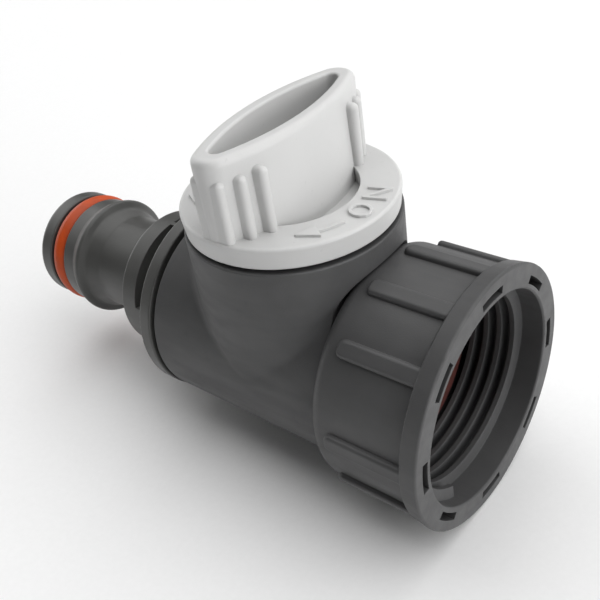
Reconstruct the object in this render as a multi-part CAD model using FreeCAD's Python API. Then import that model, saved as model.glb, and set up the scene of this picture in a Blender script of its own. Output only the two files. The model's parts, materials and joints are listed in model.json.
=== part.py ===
"""Quarter-turn hose shut-off valve: swivel inlet nut, ball inside, finger-grip knob, push-fit outlet nipple.

Lengths are in millimetres. Every piece is laid out from the point where the stem axis (Z) crosses the
flow axis (X): the inlet is at +X, the outlet at -X and the knob at +Z. On saving, each piece is shifted so
that the origin is the centre of the inlet washer's outer face, where the end of a tap spout seats.
"""
import FreeCAD, Part
import math
import os

V = FreeCAD.Vector
X_AXIS, Y_AXIS, Z_AXIS = V(1, 0, 0), V(0, 1, 0), V(0, 0, 1)

# ---- driving dimensions -------------------------------------------------------------------------
# body
BARREL_R = 13.4          # outside of the barrel along the flow axis
TURRET_R = 13.3          # outside of the round turret under the knob
TURRET_TOP = 18.4
TURRET_BLEND_R = 2.0     # fillet where the turret meets the barrel
BARREL_REAR = -16.3      # open end of the barrel, where the end piece is welded on
BARREL_FRONT = 10.9      # shoulder behind the coupling nut, clear of its back by NUT_GAP
BALL_ROOM_R = 9.8        # bore that the ball and its seats are loaded into
BALL_ROOM_FRONT = 8.6
INLET_BORE_R = 5.6
TAIL_R = 10.3            # tube that the coupling nut turns on
TAIL_FLANGE_R = 11.7     # flange that holds the nut on
FLANGE_BACK, FLANGE_FRONT = 12.85, 14.15

# ball and seats
BALL_R = 8.2
BALL_PORT_R = 5.0
SEAT_GAP = 0.05          # between the ball and a seat
SEAT_INNER_FACE = 5.6    # where a seat ends towards the ball's centre

# stem
STEM_R = 4.45
STEM_BORE_R = 4.5
STEM_COLLAR_R = 5.5
STEM_COLLAR_Z = 9.6
STEM_COLLAR_H = 1.5
THRUST_WASHER_H = 0.5
STEM_POCKET_TOP = 11.7
STEM_SHOULDER = 16.6     # where the round stem ends and its square begins
STEM_TOP = 20.4
STEM_SQUARE = 6.0        # across the flats
TANG_WIDTH, TANG_LENGTH, TANG_FOOT = 3.4, 9.0, 6.5
STEM_O_RING_Z = (12.65, 14.75)
STEM_O_RING_D = 1.06

# knob well in the turret, with the stop that limits the quarter turn
WELL_R = 10.5
WELL_FLOOR = 16.4
STOP_INNER_R = 7.6
STOP_TOP = 18.1
TURN_DEG = 90.0
LUG_DEG = 40.0
STOP_CLEARANCE_DEG = 1.0

# knob
DISC_BOTTOM, DISC_TOP = 18.83, 21.65
DISC_R_BOTTOM, DISC_R_TOP = 13.0, 13.3
GRIP_TOP = 31.5
# the grip seen from above: (half length, half width, rounding of the two ends)
GRIP_FOOT_PLAN = (13.0, 5.5, 2.1)
GRIP_TOP_PLAN = (13.15, 4.65, 2.5)
GRIP_FOOT = DISC_BOTTOM + 0.4
CAVITY_HALF_LENGTH, CAVITY_HALF_WIDTH, CAVITY_FLOOR = 10.9, 2.75, 22.4
POCKET_R, POCKET_DEPTH = 8.4, 1.9
HUB_R, HUB_FOOT = 7.2, 16.75
# the three finger ribs at each end of a flank: (distance along the grip, distance across it, height of the top)
FINGER_RIBS = ((8.2, 4.25, 28.9), (10.35, 3.15, 28.6), (12.3, 1.65, 28.5))
RIB_R = 0.62
MARK_HEIGHT = 0.3        # how far the raised letters and arrows stand off the disc
MARK_STROKE = 0.42
LETTER_INNER_R, LETTER_OUTER_R = 9.6, 12.2
LETTER_HALF_WIDTH = 1.1
ARROW_R, ARROW_HEAD_HALF_WIDTH = 11.1, 1.1

# screw that holds the knob on the stem
SCREW_HEAD_R, SCREW_HEAD_H, SCREW_LENGTH = 2.2, 1.5, 7.0
SCREW_WASHER_R, SCREW_WASHER_H = 2.5, 0.4

# outlet end piece
SPIGOT_R = 9.75
SHOULDER_R = 12.5        # bottom of the thin groove between barrel and ring
RING_FRONT, RING_REAR, RING_R = -16.9, -18.9, 13.6
COLLAR_FRONT, COLLAR_REAR, COLLAR_R = -23.7, -26.6, 10.15
SLOT_FLOOR_R = 7.6
SLOT_HALF_ARC_DEG = 39.0
SLOT_CENTRES_DEG = (49.0, 131.0)   # from +Y towards +Z
NECK_R = 7.05
BEAD_R, BEAD_X = 8.95, -38.2
BAND_R = 8.3
GROOVE_FRONT, GROOVE_REAR, GROOVE_R = -42.2, -45.3, 5.55
NIPPLE_TIP = -48.2
NIPPLE_BORE_R = 4.4
NIPPLE_O_RING_D = 2.95

# inlet washer and coupling nut
WASHER_BACK, WASHER_FACE = 14.2, 16.2
WASHER_R, WASHER_HOLE_R = 11.9, 7.5
NUT_BACK, NUT_FACE = 11.3, 26.4
NUT_LIP_FRONT = 12.6     # inside face of the lip that bears on the tail's flange
NUT_LIP_R = 10.75
NUT_BODY_R = 15.3
NUT_COLLAR_R, NUT_RIM_R, NUT_COLLAR_BACK = 16.1, 16.4, 24.1
NUT_BORE_R = 13.3        # root of the G 3/4 inlet thread
THREAD_CREST_R = 12.06
THREAD_PITCH = 1.814
THREAD_START_X = 23.9    # middle of the ridge where it begins, near the mouth
THREAD_END_X = 16.6
THREAD_START_DEG = -118.0
NUT_RIBS = 12
NUT_RIB_PITCH_DEG = 28.8  # less than 30, which leaves one wider gap
NUT_RIB_FIRST_DEG = 178.4
NUT_RIB_BACK, NUT_RIB_WIDTH, NUT_RIB_TOP_R = 13.8, 2.2, 16.0
NUT_SLOTS = 8
NUT_SLOT_FIRST_DEG = -1.5
NUT_SLOT_DEG, NUT_SLOT_DEPTH = 17.0, 3.2
NUT_SLOT_INNER_R, NUT_SLOT_OUTER_R = 13.95, 14.95
NUT_BACK_ROUND = 1.6
NUT_GAP = 0.4            # air between the fixed body and the turning nut


# ---- helpers ------------------------------------------------------------------------------------
def rounded_wire(corners):
    """A closed outline in the XZ plane from (u, v) or (u, v, radius) corners, rounded by tangent arcs."""
    points = [V(c[0], 0, c[1]) for c in corners]
    radii = [c[2] if len(c) > 2 else 0.0 for c in corners]
    count = len(points)
    ends = []
    for i in range(count):
        before, here, after = points[i - 1], points[i], points[(i + 1) % count]
        if not radii[i]:
            ends.append((here, None, here))
            continue
        to_before, to_after = (before - here).normalize(), (after - here).normalize()
        half = to_before.getAngle(to_after) / 2
        reach = radii[i] / math.tan(half)
        middle_way = (to_before + to_after).normalize()
        centre = here + middle_way * (radii[i] / math.sin(half))
        start, stop = here + to_before * reach, here + to_after * reach
        ends.append((start, centre - middle_way * radii[i], stop))
    edges = []
    for i in range(count):
        start, middle, stop = ends[i]
        if middle is not None:
            edges.append(Part.Arc(start, middle, stop).toShape())
        following = ends[(i + 1) % count][0]
        if stop.distanceToPoint(following) > 1e-6:
            edges.append(Part.LineSegment(stop, following).toShape())
    return Part.Wire(edges)


def turned_x(corners):
    """A solid of revolution about the flow axis from (x, radius) corners."""
    return Part.Face(rounded_wire(corners)).revolve(V(0, 0, 0), X_AXIS, 360)


def turned_z(corners):
    """A solid of revolution about the stem axis from (radius, z) corners."""
    return Part.Face(rounded_wire(corners)).revolve(V(0, 0, 0), Z_AXIS, 360)


def rod_x(radius, x0, x1):
    return Part.makeCylinder(radius, x1 - x0, V(x0, 0, 0), X_AXIS)


def rod_z(radius, z0, z1):
    return Part.makeCylinder(radius, z1 - z0, V(0, 0, z0), Z_AXIS)


def centred_box(size_x, size_y, z0, z1):
    return Part.makeBox(size_x, size_y, z1 - z0, V(-size_x / 2, -size_y / 2, z0))


def sector_z(inner, outer, z0, z1, from_deg, to_deg):
    """Part of a ring about the stem axis, between two angles from +X."""
    ring = Part.makeCylinder(outer, z1 - z0, V(0, 0, z0), Z_AXIS, to_deg - from_deg)
    ring = ring.cut(Part.makeCylinder(inner, z1 - z0 + 2, V(0, 0, z0 - 1), Z_AXIS, 360))
    ring.rotate(V(0, 0, 0), Z_AXIS, from_deg)
    return ring


def sector_x(inner, outer, x0, x1, middle_deg, arc_deg):
    """Part of a ring about the flow axis, centred on an angle from +Y towards +Z."""
    ring = Part.makeCylinder(outer, x1 - x0, V(x0, 0, 0), X_AXIS, 360)
    ring = ring.cut(Part.makeCylinder(inner, x1 - x0 + 2, V(x0 - 1, 0, 0), X_AXIS, 360))
    reach = 2 * outer
    half = math.radians(arc_deg / 2)
    corners = [V(x0 - 1, 0, 0)]
    for share in (-1, -0.33, 0.33, 1):
        corners.append(V(x0 - 1, reach * math.cos(half * share), reach * math.sin(half * share)))
    wedge = Part.Face(Part.makePolygon(corners + [corners[0]])).extrude(V(x1 - x0 + 2, 0, 0))
    wedge.rotate(V(0, 0, 0), X_AXIS, middle_deg)
    return ring.common(wedge)


def o_ring(ring_r, section_d, centre, axis):
    return Part.makeTorus(ring_r, section_d / 2, centre, axis)


def lens_side_radius(half_length, half_width, nose_r):
    """Radius of a lens-shaped outline's two long arcs, which are tangent to its round noses."""
    nose_y = half_length - nose_r
    return (nose_y ** 2 + half_width ** 2 - nose_r ** 2) / (2 * (half_width - nose_r))


def lens_wire(half_length, half_width, nose_r, z):
    """A lens-shaped outline along Y: two shallow arcs that meet in round noses."""
    nose_y = half_length - nose_r
    centre_x = half_width - lens_side_radius(half_length, half_width, nose_r)
    tilt = math.atan2(nose_y, -centre_x)
    join_x, join_y = nose_r * math.cos(tilt), nose_y + nose_r * math.sin(tilt)
    edges = [
        Part.Arc(V(join_x, -join_y, z), V(half_width, 0, z), V(join_x, join_y, z)).toShape(),
        Part.Arc(V(join_x, join_y, z), V(0, half_length, z), V(-join_x, join_y, z)).toShape(),
        Part.Arc(V(-join_x, join_y, z), V(-half_width, 0, z), V(-join_x, -join_y, z)).toShape(),
        Part.Arc(V(-join_x, -join_y, z), V(0, -half_length, z), V(join_x, -join_y, z)).toShape(),
    ]
    return Part.Wire(edges)


def one_solid(shape):
    """The single solid of a boolean result, with leftover seams removed."""
    clean = shape.removeSplitter()
    assert len(clean.Solids) == 1, len(clean.Solids)
    return clean.Solids[0]


# ---- body ---------------------------------------------------------------------------------------
def valve_body():
    barrel = turned_x([
        (BARREL_REAR, 0), (BARREL_REAR, BARREL_R, 0.35), (BARREL_FRONT, BARREL_R), (BARREL_FRONT, 0)])
    body = barrel.fuse(rod_z(TURRET_R, 0, TURRET_TOP)).removeSplitter()
    crease = [e for e in body.Edges if min(e.BoundBox.XLength, e.BoundBox.YLength, e.BoundBox.ZLength) > 4]
    body = body.makeFillet(TURRET_BLEND_R, crease)
    rim = [e for e in body.Edges if e.BoundBox.ZMin > TURRET_TOP - 1e-4]
    body = body.makeFillet(0.2, rim)
    tail = turned_x([
        (0, 0), (0, TAIL_R), (FLANGE_BACK, TAIL_R), (FLANGE_BACK, TAIL_FLANGE_R, 0.15),
        (FLANGE_FRONT, TAIL_FLANGE_R, 0.5), (FLANGE_FRONT, 0)])
    nut_room = turned_x([
        (BARREL_FRONT, 0), (BARREL_FRONT, NUT_BODY_R + NUT_GAP, NUT_BACK_ROUND + NUT_GAP),
        (NUT_FACE, NUT_BODY_R + NUT_GAP), (NUT_FACE, 0)])
    body = body.cut(nut_room).fuse(tail)
    body = body.cut(rod_x(BALL_ROOM_R, BARREL_REAR - 1, BALL_ROOM_FRONT))
    body = body.cut(rod_x(INLET_BORE_R, 0, FLANGE_FRONT + 1))
    body = body.cut(rod_z(STEM_COLLAR_R + 0.3, 0, STEM_POCKET_TOP))
    body = body.cut(rod_z(STEM_BORE_R, 0, TURRET_TOP + 1))
    body = body.cut(rod_z(WELL_R, WELL_FLOOR, TURRET_TOP + 1))
    half_lug = LUG_DEG / 2 + STOP_CLEARANCE_DEG
    stop = sector_z(STOP_INNER_R, WELL_R + 0.5, WELL_FLOOR - 0.5, STOP_TOP, half_lug, 360 - TURN_DEG - half_lug)
    return one_solid(body.fuse(stop))


def outlet_nipple():
    outside = turned_x([
        (-SEAT_INNER_FACE - 3.05, 0), (-SEAT_INNER_FACE - 3.05, SPIGOT_R, 0.5), (BARREL_REAR, SPIGOT_R),
        (BARREL_REAR, SHOULDER_R), (RING_FRONT, SHOULDER_R), (RING_FRONT, RING_R, 0.25),
        (RING_REAR, RING_R, 0.25), (RING_REAR, COLLAR_R, 0.3), (COLLAR_REAR, COLLAR_R, 0.45),
        (COLLAR_REAR, NECK_R, 1.6), (-35.4, NECK_R, 1.5), (-37.5, NECK_R + 0.75, 0.8),
        (BEAD_X, BEAD_R + 0.15, 0.5), (-39.5, BAND_R + 0.15, 0.3), (-39.9, BAND_R), (GROOVE_FRONT, BAND_R, 0.25),
        (GROOVE_FRONT, GROOVE_R, 0.3), (GROOVE_REAR, GROOVE_R, 0.3), (GROOVE_REAR, BAND_R, 0.25),
        (NIPPLE_TIP, BAND_R, 1.0), (NIPPLE_TIP, 0)])
    for centre in SLOT_CENTRES_DEG:
        slot = sector_x(SLOT_FLOOR_R, COLLAR_R + 1, COLLAR_FRONT, RING_REAR, centre, 2 * SLOT_HALF_ARC_DEG)
        outside = outside.cut(slot)
    seal_groove = turned_x([
        (-13.9, SPIGOT_R - 1.75), (-11.9, SPIGOT_R - 1.75), (-11.9, SPIGOT_R + 1), (-13.9, SPIGOT_R + 1)])
    flow = turned_x([
        (1, 0), (1, INLET_BORE_R - 0.2), (-14.0, INLET_BORE_R - 0.2), (-24.0, NIPPLE_BORE_R),
        (NIPPLE_TIP + 0.8, NIPPLE_BORE_R), (NIPPLE_TIP - 0.2, NIPPLE_BORE_R + 1.0), (NIPPLE_TIP - 0.2, 0)])
    return one_solid(outside.cut(seal_groove).cut(flow))


# ---- ball, seats and seals ----------------------------------------------------------------------
def ball():
    """The plug of the valve. At rest its port lies across the flow, so the valve is shut."""
    sphere = Part.makeSphere(BALL_R)
    port = Part.makeCylinder(BALL_PORT_R, 4 * BALL_R, V(0, -2 * BALL_R, 0), Y_AXIS)
    slot = centred_box(4 * BALL_R, TANG_WIDTH + 0.1, TANG_FOOT - 0.15, 2 * BALL_R)
    return one_solid(sphere.cut(port).cut(slot))


def seat(side):
    """A ring that bears on the ball; side is +1 at the inlet and -1 at the outlet."""
    back = BALL_ROOM_FRONT
    ring = turned_x([
        (SEAT_INNER_FACE, INLET_BORE_R - 0.3), (back, INLET_BORE_R - 0.3), (back, BALL_ROOM_R - 0.1, 0.2),
        (SEAT_INNER_FACE, BALL_ROOM_R - 0.1, 0.3)])
    ring = ring.cut(Part.makeSphere(BALL_R + SEAT_GAP))
    o_ring_room = turned_x([(back - 1.0, 7.2), (back + 1, 7.2), (back + 1, 8.6), (back - 1.0, 8.6)])
    ring = ring.cut(o_ring_room)
    if side < 0:
        ring = ring.mirror(V(0, 0, 0), X_AXIS)
    return one_solid(ring)


def seat_o_ring(side):
    return o_ring(7.9, 0.96, V(side * (BALL_ROOM_FRONT - 0.5), 0, 0), X_AXIS)


# ---- stem ---------------------------------------------------------------------------------------
def stem():
    groove_r = STEM_R - STEM_O_RING_D
    round_part = turned_z([
        (0, STEM_COLLAR_Z), (STEM_COLLAR_R, STEM_COLLAR_Z, 0.2),
        (STEM_COLLAR_R, STEM_COLLAR_Z + STEM_COLLAR_H, 0.2), (STEM_R, STEM_COLLAR_Z + STEM_COLLAR_H),
        (STEM_R, STEM_SHOULDER, 0.3), (0, STEM_SHOULDER)])
    for z in STEM_O_RING_Z:
        half = STEM_O_RING_D / 2 + 0.08
        groove = turned_z([(groove_r, z - half), (STEM_R + 1, z - half), (STEM_R + 1, z + half), (groove_r, z + half)])
        round_part = round_part.cut(groove)
    square = centred_box(STEM_SQUARE, STEM_SQUARE, STEM_SHOULDER - 1, STEM_TOP)
    square = square.common(rod_z(STEM_R - 0.35, STEM_SHOULDER - 1, STEM_TOP))
    tang = centred_box(TANG_LENGTH, TANG_WIDTH, TANG_FOOT, STEM_COLLAR_Z + 0.5)
    tang = tang.common(Part.makeSphere(STEM_COLLAR_Z + 0.6))
    pilot = rod_z(1.2, STEM_TOP - 7.0, STEM_TOP + 1)
    return one_solid(round_part.fuse(square).fuse(tang).cut(pilot))


def stem_o_ring(z):
    ring_r = STEM_R - STEM_O_RING_D / 2 + 0.005
    return o_ring(ring_r, STEM_O_RING_D, V(0, 0, z), Z_AXIS)


def stem_thrust_washer():
    bottom = STEM_COLLAR_Z + STEM_COLLAR_H + 0.02
    top = bottom + THRUST_WASHER_H
    return one_solid(rod_z(STEM_COLLAR_R - 0.05, bottom, top).cut(rod_z(STEM_R + 0.03, 0, top + 1)))


# ---- knob ---------------------------------------------------------------------------------------
def grip():
    foot, top = lens_wire(*GRIP_FOOT_PLAN, GRIP_FOOT), lens_wire(*GRIP_TOP_PLAN, GRIP_TOP)
    shell = Part.makeLoft([foot, top], True, True)
    rim = [e for e in shell.Edges if e.BoundBox.ZMin > GRIP_TOP - 1e-4]
    return shell.makeFillet(0.9, rim)


def finger_rib(along, across, top):
    """A round-topped bead that stands against a flank of the grip and runs on into it."""
    foot_z = DISC_TOP - 0.3
    root = across - math.copysign(0.9, across)
    bead = Part.makeCylinder(RIB_R, top - foot_z, V(across, along, foot_z))
    web = Part.makeBox(0.9, 2 * RIB_R, top - foot_z, V(min(across, root), along - RIB_R, foot_z))
    crown = Part.makeCylinder(RIB_R, 0.9, V(min(across, root), along, top), X_AXIS)
    return bead.fuse(web).fuse(crown).fuse(Part.makeSphere(RIB_R, V(across, along, top)))


def stroke(points):
    """A raised line on the disc through (x, y) points, with round ends."""
    z0, z1 = DISC_TOP - 0.2, DISC_TOP + MARK_HEIGHT
    line = None
    for start, stop in zip(points, points[1:]):
        run = math.hypot(stop[0] - start[0], stop[1] - start[1])
        bar = Part.makeBox(run, MARK_STROKE, z1 - z0, V(0, -MARK_STROKE / 2, z0))
        bar.rotate(V(0, 0, 0), Z_AXIS, math.degrees(math.atan2(stop[1] - start[1], stop[0] - start[0])))
        bar.translate(V(start[0], start[1], 0))
        piece = bar.fuse(Part.makeCylinder(MARK_STROKE / 2, z1 - z0, V(start[0], start[1], z0)))
        piece = piece.fuse(Part.makeCylinder(MARK_STROKE / 2, z1 - z0, V(stop[0], stop[1], z0)))
        line = piece if line is None else line.fuse(piece)
    return line


def letter(strokes, middle_deg):
    """A letter whose foot is at the disc's rim; strokes are in (across, up) shares of its box."""
    height = LETTER_OUTER_R - LETTER_INNER_R
    placed = None
    for points in strokes:
        # seen from outside the rim: up runs towards the stem axis, across runs anticlockwise from above
        plan = [(LETTER_OUTER_R - up * height, (across - 0.5) * 2 * LETTER_HALF_WIDTH) for across, up in points]
        one = stroke(plan)
        placed = one if placed is None else placed.fuse(one)
    placed.rotate(V(0, 0, 0), Z_AXIS, middle_deg)
    return placed


def letter_o():
    steps = 12
    ring = []
    for i in range(steps + 1):
        turn = 2 * math.pi * i / steps
        ring.append((0.5 + 0.5 * math.cos(turn), 0.5 + 0.5 * math.sin(turn)))
    return [ring]


LETTERS = {
    "O": letter_o(),
    "N": [[(0, 0), (0, 1), (1, 0), (1, 1)]],
    "F": [[(0, 0), (0, 1), (1, 1)], [(0, 0.52), (0.8, 0.52)]],
}


def word(text, middle_deg, pitch_deg):
    first = middle_deg - pitch_deg * (len(text) - 1) / 2
    placed = None
    for i, name in enumerate(text):
        one = letter(LETTERS[name], first + i * pitch_deg)
        placed = one if placed is None else placed.fuse(one)
    return placed


def turn_arrow(tail_deg, head_deg, tip_deg):
    """A raised arrow that follows the disc round, with a triangular head."""
    radius = ARROW_R
    steps = 4
    shaft = []
    for i in range(steps + 1):
        angle = math.radians(tail_deg + (head_deg - tail_deg) * i / steps)
        shaft.append((radius * math.cos(angle), radius * math.sin(angle)))
    corners = []
    half = ARROW_HEAD_HALF_WIDTH
    for r, deg in ((radius + half, head_deg), (radius, tip_deg), (radius - half, head_deg)):
        angle = math.radians(deg)
        corners.append(V(r * math.cos(angle), r * math.sin(angle), DISC_TOP - 0.2))
    head = Part.Face(Part.makePolygon(corners + [corners[0]])).extrude(V(0, 0, MARK_HEIGHT + 0.2))
    return stroke(shaft).fuse(head)


def knob():
    disc = turned_z([
        (0, DISC_BOTTOM), (DISC_R_BOTTOM, DISC_BOTTOM, 0.3), (DISC_R_TOP, DISC_TOP, 0.35), (0, DISC_TOP)])
    pocket = rod_z(POCKET_R, DISC_TOP - POCKET_DEPTH, DISC_TOP + 1)
    shape = disc.cut(pocket).fuse(grip())
    shape = shape.fuse(rod_z(HUB_R, HUB_FOOT, DISC_BOTTOM + 0.5))
    half_lug = LUG_DEG / 2
    shape = shape.fuse(sector_z(HUB_R - 0.6, WELL_R - 0.4, HUB_FOOT, DISC_BOTTOM + 0.5, -half_lug, half_lug))
    for along, across, top in FINGER_RIBS:
        for side_x in (-1, 1):
            for side_y in (-1, 1):
                shape = shape.fuse(finger_rib(side_y * along, side_x * across, top))
    shape = shape.fuse(word("ON", 6.4, 20.8)).fuse(turn_arrow(-18.5, -34.5, -48.0))
    shape = shape.fuse(word("OFF", 165.0, 19.0)).fuse(turn_arrow(-161.5, -145.5, -132.0))
    cavity_foot = lens_wire(CAVITY_HALF_LENGTH - 0.5, CAVITY_HALF_WIDTH - 0.2, 1.0, CAVITY_FLOOR)
    cavity_top = lens_wire(CAVITY_HALF_LENGTH, CAVITY_HALF_WIDTH + 0.1, 1.0, GRIP_TOP + 0.5)
    shape = shape.cut(Part.makeLoft([cavity_foot, cavity_top], True, True))
    rim = [e for e in shape.Edges if e.BoundBox.ZMin > GRIP_TOP - 1e-4 and e.BoundBox.XMax < CAVITY_HALF_WIDTH + 0.2
           and e.BoundBox.XMin > -CAVITY_HALF_WIDTH - 0.2]
    shape = shape.makeFillet(0.3, rim)
    socket = centred_box(STEM_SQUARE + 0.1, STEM_SQUARE + 0.1, HUB_FOOT - 1, STEM_TOP + 0.2)
    socket = socket.common(rod_z(STEM_R - 0.25, HUB_FOOT - 1, STEM_TOP + 0.2))
    return one_solid(shape.cut(socket).cut(rod_z(1.7, STEM_TOP - 1, CAVITY_FLOOR + 1)))


def knob_screw_washer():
    bottom = CAVITY_FLOOR
    return one_solid(rod_z(SCREW_WASHER_R, bottom, bottom + SCREW_WASHER_H).cut(rod_z(1.6, bottom - 1, bottom + 1)))


def knob_screw():
    """A pan-head self-tapping screw with a cross recess; the stem's pilot hole takes its shank."""
    seat_z = CAVITY_FLOOR + SCREW_WASHER_H
    top = seat_z + SCREW_HEAD_H
    body = turned_z([
        (0, seat_z - SCREW_LENGTH), (0.5, seat_z - SCREW_LENGTH), (1.15, seat_z - SCREW_LENGTH + 1.2),
        (1.15, seat_z), (SCREW_HEAD_R, seat_z), (SCREW_HEAD_R, top, 0.7), (0, top)])
    for angle in (0, 90):
        blade = centred_box(2.4, 0.55, top - 1.0, top + 1)
        blade.rotate(V(0, 0, 0), Z_AXIS, 45 + angle)
        body = body.cut(blade)
    return one_solid(body)


# ---- inlet --------------------------------------------------------------------------------------
def inlet_washer():
    ring = turned_x([
        (WASHER_BACK, WASHER_HOLE_R), (WASHER_BACK, WASHER_R, 0.25), (WASHER_FACE, WASHER_R, 0.25),
        (WASHER_FACE, WASHER_HOLE_R)])
    return one_solid(ring)


def thread_ridge():
    """The internal thread: a ridge along a right-hand helix, trimmed to a flat crest by the bore cut."""
    length = THREAD_START_X - THREAD_END_X
    root, crest = NUT_BORE_R + 0.3, THREAD_CREST_R - 0.25
    helix = Part.makeHelix(THREAD_PITCH, length, root)
    half_root, half_crest = 0.82, 0.24
    profile = Part.makePolygon([
        V(root, 0, -half_root), V(crest, 0, -half_crest), V(crest, 0, half_crest), V(root, 0, half_root),
        V(root, 0, -half_root)])
    ridge = Part.Wire(helix.Edges).makePipeShell([profile], True, True)
    # the helix is drawn up +Z from +X; lay it along -X so that it runs in from the mouth
    ridge.rotate(V(0, 0, 0), Y_AXIS, -90)
    ridge.rotate(V(0, 0, 0), X_AXIS, THREAD_START_DEG - 90)
    ridge.translate(V(THREAD_START_X, 0, 0))
    return ridge


def coupling_nut():
    nut = turned_x([
        (NUT_BACK, NUT_LIP_R, 0.3), (NUT_BACK, NUT_BODY_R, NUT_BACK_ROUND), (NUT_COLLAR_BACK, NUT_BODY_R, 0.2),
        (NUT_COLLAR_BACK, NUT_COLLAR_R, 0.25), (NUT_FACE, NUT_RIM_R, 0.3), (NUT_FACE, NUT_BORE_R, 0.25),
        (NUT_LIP_FRONT, NUT_BORE_R), (NUT_LIP_FRONT, NUT_LIP_R, 0.2)])
    rib_front = NUT_COLLAR_BACK + 0.3
    rib_height = NUT_RIB_TOP_R - NUT_BODY_R + 1.5
    for i in range(NUT_RIBS):
        rib = Part.makeBox(rib_front - NUT_RIB_BACK, NUT_RIB_WIDTH, rib_height,
                           V(NUT_RIB_BACK, -NUT_RIB_WIDTH / 2, NUT_RIB_TOP_R - rib_height))
        back_corners = [e for e in rib.Edges if e.BoundBox.ZLength > 1 and e.BoundBox.XMax < NUT_RIB_BACK + 1e-4]
        rib = rib.makeFillet(0.8, back_corners)
        top_edges = [e for e in rib.Edges if e.BoundBox.ZMin > NUT_RIB_TOP_R - 1e-4
                     and e.BoundBox.XMin < rib_front - 1e-4]
        rib = rib.makeFillet(0.5, top_edges)
        rib.rotate(V(0, 0, 0), X_AXIS, NUT_RIB_FIRST_DEG + i * NUT_RIB_PITCH_DEG - 90)
        nut = nut.fuse(rib)
    for i in range(NUT_SLOTS):
        middle = NUT_SLOT_FIRST_DEG + i * 360.0 / NUT_SLOTS
        nut = nut.cut(sector_x(NUT_SLOT_INNER_R, NUT_SLOT_OUTER_R, NUT_FACE - NUT_SLOT_DEPTH, NUT_FACE + 1,
                               middle, NUT_SLOT_DEG))
    # merging faces after this step would damage the thread's flanks, so the ridge goes on last
    ridge = thread_ridge().cut(rod_x(THREAD_CREST_R, NUT_LIP_FRONT, NUT_FACE + 1))
    return one_solid(nut).fuse(ridge).Solids[0]


# ---- the assembly -------------------------------------------------------------------------------
PIECES = {
    "valve_body": valve_body(),
    "outlet_nipple": outlet_nipple(),
    "nipple_o_ring": o_ring(GROOVE_R + NIPPLE_O_RING_D / 2, NIPPLE_O_RING_D,
                            V((GROOVE_FRONT + GROOVE_REAR) / 2, 0, 0), X_AXIS),
    "end_piece_o_ring": o_ring(SPIGOT_R - 0.85, 1.75, V(-12.9, 0, 0), X_AXIS),
    "inlet_seat": seat(1),
    "outlet_seat": seat(-1),
    "inlet_seat_o_ring": seat_o_ring(1),
    "outlet_seat_o_ring": seat_o_ring(-1),
    "inlet_washer": inlet_washer(),
    "ball": ball(),
    "stem": stem(),
    "stem_thrust_washer": stem_thrust_washer(),
    "stem_o_ring_lower": stem_o_ring(STEM_O_RING_Z[0]),
    "stem_o_ring_upper": stem_o_ring(STEM_O_RING_Z[1]),
    "knob": knob(),
    "knob_screw_washer": knob_screw_washer(),
    "knob_screw": knob_screw(),
    "coupling_nut": coupling_nut(),
}

os.makedirs("parts", exist_ok=True)
for name, shape in PIECES.items():
    shape.translate(V(-WASHER_FACE, 0, 0))
    box = shape.BoundBox
    print(f"{name:20s} valid={shape.isValid()} solids={len(shape.Solids)} volume={shape.Volume:9.1f} "
          f"x {box.XMin:6.2f}..{box.XMax:6.2f} z {box.ZMin:6.2f}..{box.ZMax:6.2f}")
    shape.exportStep(f"parts/{name}.step")
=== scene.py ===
"""Looks of the quarter-turn hose shut-off valve: moulded plastics, rubbers, moulding marks, floor and light.

Lengths are in metres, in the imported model's frame: +X out of the inlet nut, +Z up the stem to the knob.
"""
import json
import math
import random
import bmesh
import bpy
from mathutils import Matrix, Vector
from mathutils.bvhtree import BVHTree


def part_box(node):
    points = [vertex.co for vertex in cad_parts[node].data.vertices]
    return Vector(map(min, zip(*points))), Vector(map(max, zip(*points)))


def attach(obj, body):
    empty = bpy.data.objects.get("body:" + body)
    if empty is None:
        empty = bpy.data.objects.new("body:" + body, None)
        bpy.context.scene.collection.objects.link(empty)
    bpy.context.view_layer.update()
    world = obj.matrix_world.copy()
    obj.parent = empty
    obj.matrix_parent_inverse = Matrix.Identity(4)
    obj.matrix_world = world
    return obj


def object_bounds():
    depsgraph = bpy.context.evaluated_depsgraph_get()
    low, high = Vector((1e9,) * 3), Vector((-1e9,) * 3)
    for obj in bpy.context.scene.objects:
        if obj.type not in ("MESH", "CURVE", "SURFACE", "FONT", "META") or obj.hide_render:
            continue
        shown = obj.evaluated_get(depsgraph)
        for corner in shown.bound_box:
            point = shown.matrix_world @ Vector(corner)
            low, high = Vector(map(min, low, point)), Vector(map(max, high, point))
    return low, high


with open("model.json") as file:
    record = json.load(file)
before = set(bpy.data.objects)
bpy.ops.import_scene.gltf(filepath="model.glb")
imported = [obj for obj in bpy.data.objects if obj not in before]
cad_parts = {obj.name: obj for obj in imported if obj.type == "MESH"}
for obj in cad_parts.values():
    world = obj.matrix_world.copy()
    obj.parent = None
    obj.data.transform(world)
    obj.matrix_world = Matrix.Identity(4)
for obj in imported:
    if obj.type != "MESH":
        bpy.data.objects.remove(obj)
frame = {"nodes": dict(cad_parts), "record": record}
cad_low, cad_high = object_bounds()

MM = 0.001
random.seed(7)

# ---- places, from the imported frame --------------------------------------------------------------
ball_low, ball_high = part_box("ball")
STEM_X = (ball_low.x + ball_high.x) / 2      # the stem axis crosses the flow axis here
body_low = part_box("valve_body")[0]

# ---- camera -------------------------------------------------------------------------------------
CAMERA_AIM = Vector((-0.01330, -0.00441, 0.00898))
CAMERA_DISTANCE = 0.105
CAMERA_AZIMUTH, CAMERA_ELEVATION, CAMERA_ROLL = 44.24, 36.17, -9.71    # degrees
CAMERA_LENS_MM = 51.77


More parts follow.
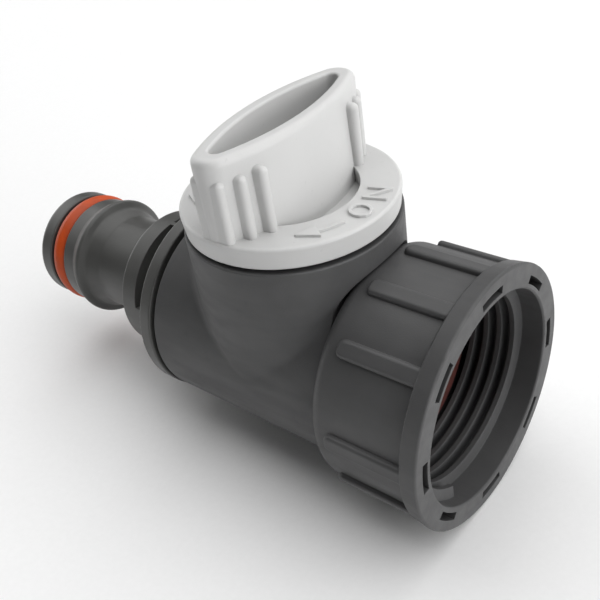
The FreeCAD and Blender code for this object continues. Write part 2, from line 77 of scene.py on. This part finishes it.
def make_camera():
    azimuth, elevation = math.radians(CAMERA_AZIMUTH), math.radians(CAMERA_ELEVATION)
    back = Vector((math.sin(azimuth) * math.cos(elevation),
                   -math.cos(azimuth) * math.cos(elevation),
                   math.sin(elevation)))
    data = bpy.data.cameras.new("camera")
    data.sensor_width = 36
    data.lens = CAMERA_LENS_MM
    data.clip_start, data.clip_end = 0.005, 20
    camera = bpy.data.objects.new("camera", data)
    turn = (-back).to_track_quat("-Z", "Y").to_matrix() @ Matrix.Rotation(math.radians(CAMERA_ROLL), 3, "Z")
    camera.matrix_world = Matrix.Translation(CAMERA_AIM + back * CAMERA_DISTANCE) @ turn.to_4x4()
    bpy.context.scene.collection.objects.link(camera)
    bpy.context.scene.camera = camera


# ---- node helpers -------------------------------------------------------------------------------
class Look:
    """A material under construction, with short ways to add and join its nodes."""

    def __init__(self, name):
        self.material = bpy.data.materials.new(name)
        self.material.use_nodes = True
        self.tree = self.material.node_tree
        self.shader = self.tree.nodes["Principled BSDF"]
        self.place = self.add("ShaderNodeTexCoord").outputs["Object"]

    def add(self, kind, inputs=None, **settings):
        node = self.tree.nodes.new(kind)
        for key, value in settings.items():
            setattr(node, key, value)
        for key, value in (inputs or {}).items():
            self.join(value, node.inputs[key])
        return node

    def join(self, value, socket):
        if isinstance(value, bpy.types.NodeSocket):
            self.tree.links.new(value, socket)
        else:
            socket.default_value = value

    def set(self, **values):
        """Sets or links inputs of the Principled shader; spaces in their names are written as _."""
        for key, value in values.items():
            self.join(value, self.shader.inputs[key.replace("_", " ")])

    def noise(self, size, detail=2.0, roughness=0.5, stretch=(1, 1, 1), shift=0.0):
        """Noise whose largest features are about `size` across, from 0 to 1."""
        place = self.place
        if stretch != (1, 1, 1) or shift:
            scale = tuple(1 / s for s in stretch)
            mapped = self.add("ShaderNodeMapping",
                              {"Vector": place, "Scale": scale, "Location": (shift,) * 3})
            place = mapped.outputs["Vector"]
        node = self.add("ShaderNodeTexNoise",
                        {"Vector": place, "Scale": 1 / size, "Detail": detail, "Roughness": roughness})
        return node.outputs["Fac"]

    def ramp(self, value, from_low, from_high, to_low=0.0, to_high=1.0):
        node = self.add("ShaderNodeMapRange", {
            "Value": value, "From Min": from_low, "From Max": from_high, "To Min": to_low, "To Max": to_high},
            interpolation_type="SMOOTHSTEP")
        return node.outputs["Result"]

    def maths(self, operation, first, second=0.0):
        node = self.add("ShaderNodeMath", operation=operation)
        self.join(first, node.inputs[0])
        self.join(second, node.inputs[1])
        return node.outputs["Value"]

    def mix(self, share, first, second):
        node = self.add("ShaderNodeMix", data_type="RGBA")
        self.join(share, node.inputs[0])
        self.join(first, node.inputs[6])
        self.join(second, node.inputs[7])
        return node.outputs[2]

    def soft_normal(self, radius):
        return self.add("ShaderNodeBevel", {"Radius": radius}, samples=6).outputs["Normal"]

    def edge_mask(self, radius, low, high):
        """1 on sharp outer and inner edges, 0 on open surfaces."""
        normal = self.add("ShaderNodeNewGeometry").outputs["Normal"]
        dot = self.add("ShaderNodeVectorMath", operation="DOT_PRODUCT")
        self.join(self.soft_normal(radius), dot.inputs[0])
        self.join(normal, dot.inputs[1])
        return self.ramp(self.maths("SUBTRACT", 1.0, dot.outputs["Value"]), low, high)

    def recess_shade_mask(self, distance):
        """1 deep in grooves and corners, 0 in the open, from ambient occlusion: the mask for painted shade.
        """
        node = self.add("ShaderNodeAmbientOcclusion", {"Distance": distance}, samples=6)
        return self.ramp(node.outputs["AO"], 0.75, 0.25)

    def bump(self, height, distance, normal=None, strength=1.0):
        node = self.add("ShaderNodeBump", {"Height": height, "Distance": distance, "Strength": strength})
        if normal is not None:
            self.join(normal, node.inputs["Normal"])
        return node.outputs["Normal"]


def shade(colour, factor):
    return tuple(min(c * factor, 1.0) for c in colour) + (1.0,)


# ---- materials ----------------------------------------------------------------------------------
def moulded_plastic(name, colour, roughness, grain, grain_depth,
                    cloud=0.10, wear=1.5, painted_shade=0.45, edge=0.12 * MM):
    """Injection-moulded plastic: fine tool grain, faint flow clouding, rubbed edges and painted shade in
    recesses.
    """
    look = Look(name)
    clouds = look.noise(9 * MM, 3, 0.55)
    streaks = look.noise(1.6 * MM, 2, 0.5, stretch=(5, 1, 1), shift=0.3)
    specks = look.ramp(look.noise(0.55 * MM, 1, 0.5, shift=1.7), 0.70, 0.80)
    tone = look.mix(look.ramp(clouds, 0.3, 0.7), shade(colour, 1 - cloud), shade(colour, 1 + cloud))
    tone = look.mix(look.maths("MULTIPLY", streaks, 0.08), tone, shade(colour, 1 - 1.5 * cloud))
    tone = look.mix(look.maths("MULTIPLY", specks, 0.25), tone, shade(colour, 0.75))
    rubbed = look.maths("MULTIPLY", look.edge_mask(0.32 * MM, 0.03, 0.32),
                        look.ramp(clouds, 0.25, 0.65, 0.35, 0.9))
    tone = look.mix(look.maths("MULTIPLY", rubbed, 0.45), tone, shade(colour, wear))
    # painted shade: colour darkened in grooves and corners by ambient occlusion, where shade falls
    recess = look.recess_shade_mask(1.6 * MM)
    tone = look.mix(look.maths("MULTIPLY", recess, painted_shade), tone, shade(colour, 0.55))
    scuffs = look.ramp(look.noise(2.4 * MM, 4, 0.7, stretch=(1, 4, 1), shift=2.1), 0.58, 0.72)
    gloss = look.maths("ADD", look.ramp(streaks, 0.3, 0.7, roughness - 0.05, roughness + 0.05),
                       look.maths("MULTIPLY", scuffs, 0.07))
    gloss = look.maths("SUBTRACT", gloss, look.maths("MULTIPLY", rubbed, 0.14))
    grains = look.noise(grain, 2, 0.6)
    waves = look.noise(3.5 * MM, 1, 0.4, shift=0.9)
    normal = look.bump(waves, 0.02 * MM, look.soft_normal(edge))
    normal = look.bump(grains, grain_depth, normal)
    look.set(Base_Color=tone, Roughness=gloss, Normal=normal)
    return look


def body_plastic():
    look = moulded_plastic("body_plastic", (0.066, 0.066, 0.067), 0.56, 0.18 * MM, 0.024 * MM)
    look.set(IOR=1.49)
    return look.material


def nut_plastic():
    look = moulded_plastic("nut_plastic", (0.066, 0.066, 0.067), 0.50, 0.16 * MM, 0.016 * MM, wear=1.7)
    look.set(IOR=1.49)
    return look.material


def nipple_plastic():
    look = moulded_plastic("nipple_plastic", (0.072, 0.072, 0.069), 0.42, 0.20 * MM, 0.008 * MM, cloud=0.08)
    look.set(IOR=1.5)
    return look.material


def knob_plastic():
    # the knob gets less painted shade in its recesses than the dark plastics
    look = moulded_plastic("knob_plastic", (0.59, 0.59, 0.585), 0.44, 0.14 * MM, 0.004 * MM,
                           cloud=0.02, wear=1.02, painted_shade=0.15, edge=0.16 * MM)
    look.set(IOR=1.49, Subsurface_Weight=0.10, Subsurface_Radius=(1.0, 1.0, 0.95), Subsurface_Scale=0.0006)
    return look.material


def inner_plastic(name, colour, roughness, ior):
    """Clean turned or moulded plastic of a part that is never handled, with fine rings from the tool."""
    look = Look(name)
    clouds = look.noise(4 * MM, 2)
    tone = look.mix(look.ramp(clouds, 0.3, 0.7), shade(colour, 0.94), shade(colour, 1.04))
    # painted shade: colour darkened in grooves and corners by ambient occlusion
    tone = look.mix(look.maths("MULTIPLY", look.recess_shade_mask(1.2 * MM), 0.5), tone, shade(colour, 0.6))
    rings = look.noise(0.5 * MM, 1, stretch=(1, 6, 6))
    normal = look.bump(rings, 0.004 * MM, look.soft_normal(0.1 * MM))
    look.set(Base_Color=tone, Roughness=look.ramp(clouds, 0.3, 0.7, roughness - 0.04, roughness + 0.06),
             Normal=normal, IOR=ior)
    return look.material


def seal_rubber(name, colour, roughness, flash_at=None):
    """Moulded seal rubber: a soft sheen, faint dust, and the flash line of the mould at its middle."""
    look = Look(name)
    clouds = look.noise(3 * MM, 3, 0.6)
    tone = look.mix(look.ramp(clouds, 0.3, 0.7), shade(colour, 0.88), shade(colour, 1.10))
    dust = look.ramp(look.noise(0.35 * MM, 2, 0.7, shift=1.1), 0.60, 0.78)
    tone = look.mix(look.maths("MULTIPLY", dust, 0.12), tone, shade(colour, 1.4))
    # painted shade: colour darkened in grooves and corners by ambient occlusion
    tone = look.mix(look.maths("MULTIPLY", look.recess_shade_mask(1.0 * MM), 0.55), tone, shade(colour, 0.5))
    height = look.noise(0.25 * MM, 2, 0.6)
    if flash_at is not None:
        along = look.add("ShaderNodeSeparateXYZ", {"Vector": look.place}).outputs["X"]
        away = look.maths("ABSOLUTE", look.maths("SUBTRACT", along, flash_at))
        flash = look.ramp(away, 0.09 * MM, 0.02 * MM)
        height = look.maths("ADD", height, look.maths("MULTIPLY", flash, 2.0))
        tone = look.mix(look.maths("MULTIPLY", flash, 0.3), tone, shade(colour, 1.4))
    look.set(Base_Color=tone, Roughness=look.ramp(clouds, 0.3, 0.7, roughness - 0.06, roughness + 0.08),
             Normal=look.bump(height, 0.006 * MM), IOR=1.42)
    return look.material


def sheet_rubber():
    """Red-brown washer punched from sheet: a dull mottled face with pale fibre flecks."""
    colour = (0.065, 0.013, 0.009)
    look = Look("washer_rubber")
    mottle = look.noise(0.8 * MM, 4, 0.65)
    flecks = look.ramp(look.noise(0.28 * MM, 2, 0.6, stretch=(1, 1, 3), shift=0.6), 0.66, 0.76)
    tone = look.mix(look.ramp(mottle, 0.3, 0.7), shade(colour, 0.75), shade(colour, 1.3))
    tone = look.mix(look.maths("MULTIPLY", flecks, 0.35), tone, shade(colour, 2.2))
    look.set(Base_Color=tone, Roughness=look.ramp(mottle, 0.3, 0.7, 0.62, 0.8),
             Normal=look.bump(mottle, 0.02 * MM, look.soft_normal(0.1 * MM)), IOR=1.5)
    return look.material


def zinc_steel():
    """Zinc-plated screw steel: bright, with a faint warm and blue passivated tint and turned rings."""
    look = Look("screw_steel")
    tint = look.noise(1.2 * MM, 2)
    tone = look.mix(look.ramp(tint, 0.35, 0.65), (0.62, 0.60, 0.55, 1), (0.55, 0.60, 0.66, 1))
    # painted shade: dark grey in grooves and corners by ambient occlusion
    tone = look.mix(look.maths("MULTIPLY", look.recess_shade_mask(0.6 * MM), 0.7), tone, (0.18, 0.17, 0.16, 1))
    scratches = look.noise(0.15 * MM, 2, 0.6, stretch=(1, 1, 8))
    look.set(Base_Color=tone, Metallic=1.0, Roughness=look.ramp(scratches, 0.3, 0.7, 0.24, 0.42),
             Normal=look.bump(scratches, 0.004 * MM, look.soft_normal(0.08 * MM)))
    return look.material


def dress_nodes():
    o_ring_low, o_ring_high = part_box("nipple_o_ring")
    looks = {
        "body_plastic": body_plastic(),
        "nut_plastic": nut_plastic(),
        "nipple_plastic": nipple_plastic(),
        "knob_plastic": knob_plastic(),
        "seat_plastic": inner_plastic("seat_plastic", (0.82, 0.82, 0.80), 0.38, 1.38),
        "ball_plastic": inner_plastic("ball_plastic", (0.74, 0.74, 0.71), 0.22, 1.5),
        "stem_plastic": inner_plastic("stem_plastic", (0.66, 0.66, 0.63), 0.40, 1.5),
        "orange_rubber": seal_rubber("orange_rubber", (0.50, 0.062, 0.006), 0.50,
                                     (o_ring_low.x + o_ring_high.x) / 2),
        "black_rubber": seal_rubber("black_rubber", (0.022, 0.022, 0.023), 0.34),
        "washer_rubber": sheet_rubber(),
        "screw_steel": zinc_steel(),
    }
    for row in frame["record"]["subparts"]:
        node = frame["nodes"][row["node"]]
        node.data.materials.clear()
        node.data.materials.append(looks[row["material_slot"]])
    return looks


# ---- moulding marks on the underside ------------------------------------------------------------
PARTING_BEAD_R = 0.07 * MM
PARTING_STEP = 0.4 * MM
BARREL_END_GAP, NUT_CLEARANCE, GROOVE_CLEARANCE = 0.6 * MM, 0.8 * MM, 0.6 * MM
COLLAR_REACH = 11 * MM       # from the barrel's open end to just past the nipple's slotted collar
GATE_TURNS = 40
# the gate's outline: (radius, height off the barrel)
GATE_PROFILE = ((1.45 * MM, -0.30 * MM), (1.30 * MM, 0.02 * MM), (1.12 * MM, 0.16 * MM),
                (0.66 * MM, 0.18 * MM), (0.50 * MM, 0.34 * MM), (0.22 * MM, 0.40 * MM))


def surface_of(node):
    mesh = frame["nodes"][node].data
    return BVHTree.FromPolygons([v.co for v in mesh.vertices], [tuple(p.vertices) for p in mesh.polygons])


def below(tree, x):
    """The lowest point of a node on the mould's parting plane, y = 0."""
    return tree.ray_cast(Vector((x, 0, cad_low.z - MM)), Vector((0, 0, 1)))[0]


def add_piece(name, data, look):
    piece = bpy.data.objects.new(name, data)
    bpy.context.scene.collection.objects.link(piece)
    data.materials.append(look)
    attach(piece, "body")


def parting_line(name, node, x_from, x_to, look):
    """The fine bead of flash where the two halves of the mould met."""
    tree = surface_of(node)
    steps = int((x_to - x_from) / PARTING_STEP)
    curve = bpy.data.curves.new(name, "CURVE")
    curve.dimensions = "3D"
    curve.bevel_depth = PARTING_BEAD_R
    curve.bevel_resolution = 3
    curve.use_fill_caps = True
    spline = curve.splines.new("POLY")
    spline.points.add(steps)
    for i, point in enumerate(spline.points):
        point.co = (*below(tree, x_from + (x_to - x_from) * i / steps), 1)
        point.radius = random.uniform(0.75, 1.15)
    add_piece(name, curve, look)


def gate_mark(look):
    """The snapped-off stub of the sprue, under the barrel in line with the stem."""
    foot = below(surface_of("valve_body"), STEM_X)
    shape = bmesh.new()
    rings = []
    for radius, height in GATE_PROFILE:
        torn = 0.05 * MM if height > 0.3 * MM else 0.0
        ring = []
        for i in range(GATE_TURNS):
            turn = 2 * math.pi * i / GATE_TURNS
            drop = height + random.uniform(-torn, torn)
            corner = Vector((radius * math.cos(turn), radius * math.sin(turn), -drop))
            ring.append(shape.verts.new(foot + corner))
        rings.append(ring)
    for outer, inner in zip(rings, rings[1:]):
        for i in range(GATE_TURNS):
            after = (i + 1) % GATE_TURNS
            shape.faces.new((outer[i], inner[i], inner[after], outer[after]))
    shape.faces.new(rings[-1])
    shape.faces.new(list(reversed(rings[0])))
    bmesh.ops.recalc_face_normals(shape, faces=shape.faces)
    mesh = bpy.data.meshes.new("gate_mark")
    shape.to_mesh(mesh)
    shape.free()
    mesh.shade_smooth()
    mesh.set_sharp_from_angle(angle=math.radians(35))
    add_piece("gate_mark", mesh, look)


def make_marks():
    nipple_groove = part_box("nipple_o_ring")[1].x
    nut_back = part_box("coupling_nut")[0].x
    parting_line("parting_line_barrel", "valve_body", body_low.x + BARREL_END_GAP, nut_back - NUT_CLEARANCE,
                 LOOKS["body_plastic"])
    parting_line("parting_line_neck", "outlet_nipple", nipple_groove + GROOVE_CLEARANCE,
                 body_low.x - COLLAR_REACH,
                 LOOKS["nipple_plastic"])
    gate_mark(LOOKS["body_plastic"])


# ---- stage --------------------------------------------------------------------------------------
FLOOR_HALF, FLOOR_GAP = 4.0, 0.0001
# soft square lamps: (name, place, side, power in watts)
SOFT_BOXES = (
    ("key_light", (0.80, 0.12, 0.55), 1.0, 6.1),
    ("top_light", (-0.05, 0.20, 0.95), 1.3, 9.4),
    ("left_light", (-0.90, 0.05, 0.35), 0.8, 3.6),
    ("low_right_light", (0.95, 0.0, 0.14), 0.6, 3.4),
    ("back_light", (-0.10, 0.90, 0.45), 0.8, 2.2),
)
WORLD_STRENGTH = 0.01


def make_floor():
    mesh = bpy.data.meshes.new("floor")
    half, height = FLOOR_HALF, cad_low.z - FLOOR_GAP
    corners = [(-half, -half, height), (half, -half, height), (half, half, height), (-half, half, height)]
    mesh.from_pydata(corners, [], [(0, 1, 2, 3)])
    floor = bpy.data.objects.new("floor", mesh)
    bpy.context.scene.collection.objects.link(floor)
    look = Look("floor_paper")
    fibres = look.noise(0.6 * MM, 2)
    look.set(Base_Color=look.mix(fibres, (0.86, 0.86, 0.86, 1), (0.90, 0.90, 0.90, 1)), Roughness=0.9)
    mesh.materials.append(look.material)


def soft_box(name, place, size, power, aim):
    data = bpy.data.lights.new(name, "AREA")
    data.shape = "RECTANGLE"
    data.size, data.size_y = size
    data.energy = power
    light = bpy.data.objects.new(name, data)
    light.location = place
    light.rotation_euler = (Vector(aim) - Vector(place)).to_track_quat("-Z", "Y").to_euler()
    bpy.context.scene.collection.objects.link(light)


def make_lights():
    aim = (cad_low + cad_high) / 2
    for name, place, side, power in SOFT_BOXES:
        soft_box(name, place, (side, side), power, aim)
    world = bpy.data.worlds.new("studio")
    world.use_nodes = True
    world.node_tree.nodes["Background"].inputs["Color"].default_value = (1, 1, 1, 1)
    world.node_tree.nodes["Background"].inputs["Strength"].default_value = WORLD_STRENGTH
    bpy.context.scene.world = world
    bpy.context.scene.view_settings.view_transform = "Standard"


make_camera()
LOOKS = dress_nodes()
make_marks()
make_floor()
make_lights()
